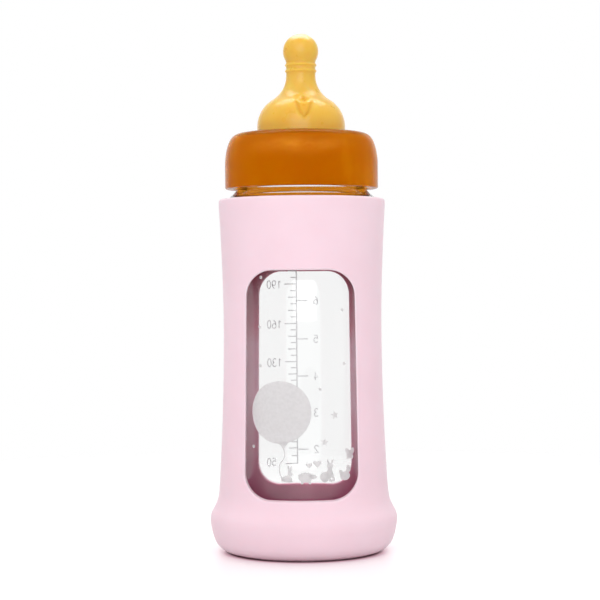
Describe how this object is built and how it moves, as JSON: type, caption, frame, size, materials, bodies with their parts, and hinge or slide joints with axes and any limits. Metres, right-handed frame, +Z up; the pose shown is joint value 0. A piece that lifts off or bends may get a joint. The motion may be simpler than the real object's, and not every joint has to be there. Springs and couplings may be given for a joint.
{
  "type": "baby bottle",
  "caption": "Wide-neck glass feeding bottle in a waisted soft sleeve with windows, closed by a screw ring and a ribbed rubber teat.",
  "frame": {"origin": "centre of the sleeve's foot, on the surface it stands on", "axes": "+Z up along the bottle's axis, -Y out through the sleeve's front window"},
  "size_m": [0.0706, 0.0706, 0.1956],
  "materials": {
    "silicone": "matte",
    "glass": "clear, gloss",
    "latex": "translucent, satin",
    "ring": "translucent, satin",
    "enamel": "fired enamel, satin"
  },
  "bodies": {
    "sleeve": {"silicone_sleeve": "silicone"},
    "bottle": {"glass_bottle": "glass"},
    "teat": {"teat": "latex"},
    "ring": {"screw_ring": "ring"}
  },
  "joints": [
    {"name": "bottle_slide", "type": "slide", "parent": "sleeve", "child": "bottle", "axis": [0, 0, 1], "range_m": [0, 0.135]},
    {"name": "teat_lift", "type": "slide", "parent": "bottle", "child": "teat", "axis": [0, 0, 1], "range_m": [0, 0.018]},
    {"name": "ring_turn", "type": "hinge", "parent": "teat", "child": "ring", "pos_m": [0, 0, 0.14], "axis": [0, 0, 1], "range_deg": [0, 1080]}
  ],
  "couplings": [
    {"joint": "teat_lift", "follows": "ring_turn", "m_per_rad": 0.00095493}
  ]
}
